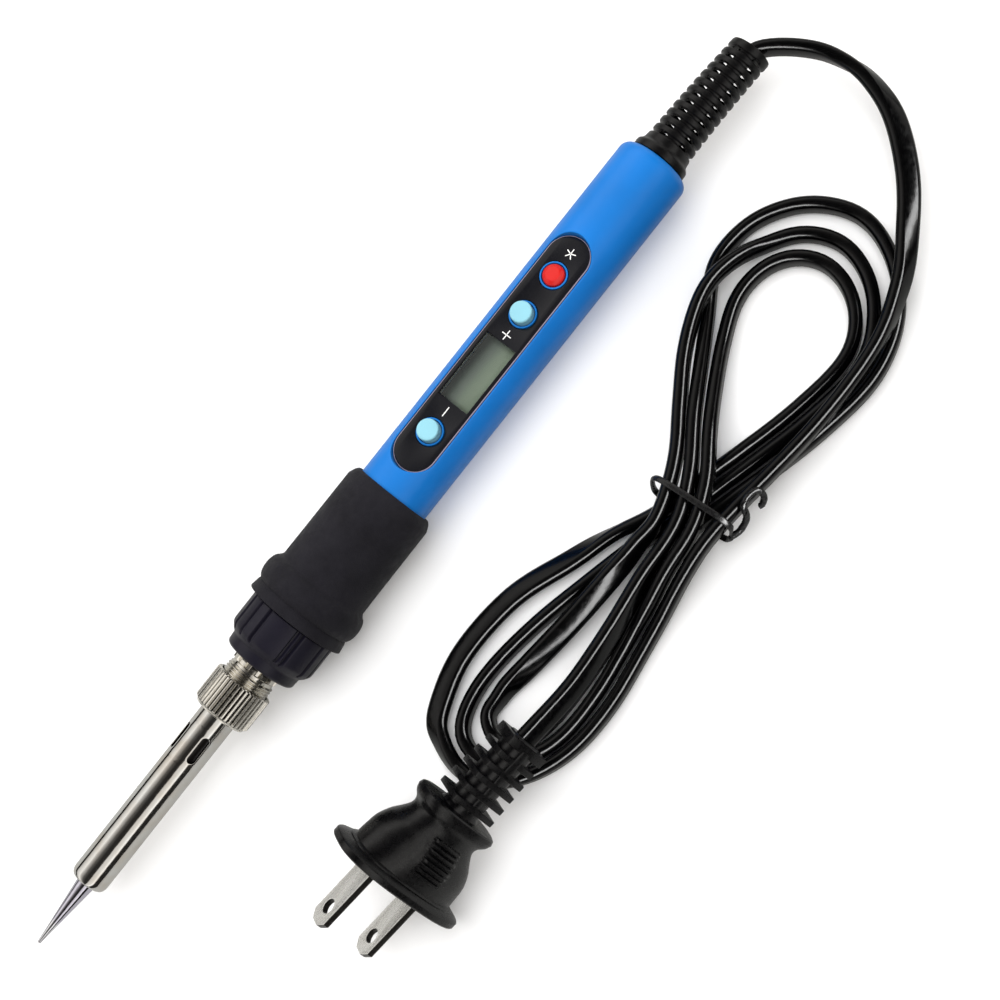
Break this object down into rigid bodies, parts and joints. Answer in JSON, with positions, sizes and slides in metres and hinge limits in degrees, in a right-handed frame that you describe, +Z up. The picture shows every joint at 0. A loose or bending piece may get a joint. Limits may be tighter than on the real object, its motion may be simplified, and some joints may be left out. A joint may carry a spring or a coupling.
{
  "type": "soldering iron",
  "caption": "Mains soldering iron with a tubular handle, display panel and push buttons, soft grip, conical tip and a two-core cord tied in a hank.",
  "frame": {"origin": "on the bench, in the middle of the narrow flat under the thickest ring of the grip, where the iron rests", "axes": "+X along the iron towards its tip, +Z up out of the control panel, +Y towards the hank and the plug"},
  "size_m": [0.254, 0.0791, 0.0296],
  "materials": {
    "blue_plastic": "satin moulded",
    "cap_blue": "satin moulded",
    "cap_red": "satin moulded",
    "panel_black": "glossy",
    "lcd_grey": "matt grey-green display",
    "grip_rubber": "matt",
    "nose_black": "satin",
    "nickel": "nickel plated, satin",
    "steel": "polished",
    "tip_plating": "plated, satin",
    "ceramic": "matt",
    "pvc_black": "smooth soft vinyl",
    "board_green": "solder mask on glass fibre",
    "part_black": "moulded",
    "film_yellow": "moulded",
    "clear": "clear window",
    "wire_red": "insulation",
    "wire_white": "insulation",
    "wire_blue": "insulation",
    "wire_brown": "insulation"
  },
  "bodies": {
    "handle": {"blade_left": "nickel", "blade_right": "nickel", "circuit_board": "board_green", "contact_strip_front": "part_black", "contact_strip_rear": "part_black", "controller_chip": "part_black", "cord": "pvc_black", "cord_boot": "pvc_black", "cord_clamp": "part_black", "electrolytic_capacitor": "part_black", "film_capacitor": "film_yellow", "grip_sleeve": "grip_rubber", "handle_shell": "blue_plastic", "heater_base": "ceramic", "heater_lead_1": "wire_red", "heater_lead_2": "wire_red", "heater_rod": "ceramic", "lcd_glass": "lcd_grey", "lcd_window": "clear", "live_core": "wire_brown", "neutral_core": "wire_blue", "nose_piece": "nose_black", "panel_overlay": "panel_black", "plug_body": "pvc_black", "sensor_lead_1": "wire_white", "sensor_lead_2": "wire_blue", "switch_minus": "part_black", "switch_plus": "part_black", "switch_set": "part_black", "threaded_insert": "nickel", "triac": "part_black", "twist_tie": "pvc_black"},
    "tip": {"tip": "tip_plating"},
    "barrel": {"barrel": "steel"},
    "nut": {"knurled_nut": "nickel"},
    "minus_button": {"button_minus": "cap_blue", "plunger_minus": "part_black"},
    "plus_button": {"button_plus": "cap_blue", "plunger_plus": "part_black"},
    "set_button": {"button_set": "cap_red", "plunger_set": "part_black"}
  },
  "joints": [
    {"name": "tip_pull", "type": "slide", "parent": "handle", "child": "tip", "axis": [1, 0, 0], "range_m": [0, 0.06]},
    {"name": "barrel_advance", "type": "slide", "parent": "tip", "child": "barrel", "axis": [1, 0, 0], "range_m": [0, 0.00526]},
    {"name": "nut_turn", "type": "hinge", "parent": "barrel", "child": "nut", "pos_m": [0, 0, 0.012], "axis": [1, 0, 0], "range_deg": [0, 2520]},
    {"name": "minus_press", "type": "slide", "parent": "handle", "child": "minus_button", "axis": [0, 0, -1], "range_m": [0, 0.00025], "stiffness_N_per_m": 300},
    {"name": "plus_press", "type": "slide", "parent": "handle", "child": "plus_button", "axis": [0, 0, -1], "range_m": [0, 0.00025], "stiffness_N_per_m": 300},
    {"name": "set_press", "type": "slide", "parent": "handle", "child": "set_button", "axis": [0, 0, -1], "range_m": [0, 0.00025], "stiffness_N_per_m": 300}
  ],
  "couplings": [
    {"joint": "barrel_advance", "follows": "nut_turn", "m_per_rad": 0.00011937}
  ]
}
